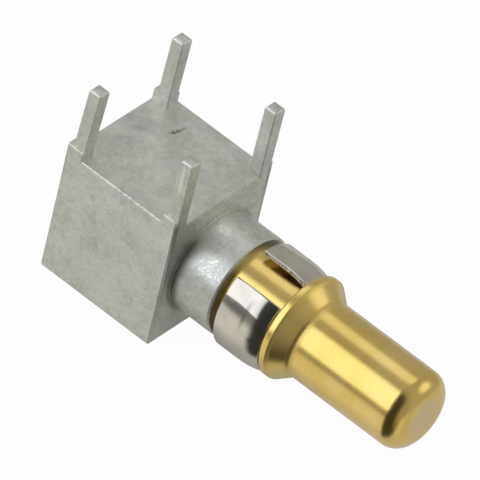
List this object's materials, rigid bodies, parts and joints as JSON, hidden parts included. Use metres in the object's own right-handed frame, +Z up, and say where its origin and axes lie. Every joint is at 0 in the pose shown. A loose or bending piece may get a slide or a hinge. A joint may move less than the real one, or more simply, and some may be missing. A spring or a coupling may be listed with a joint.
{
  "type": "right-angle board power contact",
  "caption": "Right-angle board power contact: a tin-plated block on four solder legs, a gold male pin and a loose split retention clip.",
  "frame": {"origin": "centre of the block's flat underside, which the part rests on", "axes": "+X along the contact pin towards its nose, +Z up along the solder legs, +Y across the block"},
  "size_m": [0.0176, 0.006, 0.0098],
  "materials": {
    "tin_plated_block": "matte tin plate over brass",
    "gold_plated_contact": "satin gold plate over brass",
    "nickel_spring_sheet": "bright nickel-plated spring sheet"
  },
  "bodies": {
    "holder": {"terminal_block": "tin_plated_block", "contact_pin": "gold_plated_contact"},
    "clip": {"retention_clip": "nickel_spring_sheet"}
  },
  "joints": [
    {"name": "clip_turn", "type": "hinge", "parent": "holder", "child": "clip", "pos_m": [0.00655, 0, 0.00305], "axis": [1, 0, 0], "continuous": true}
  ]
}
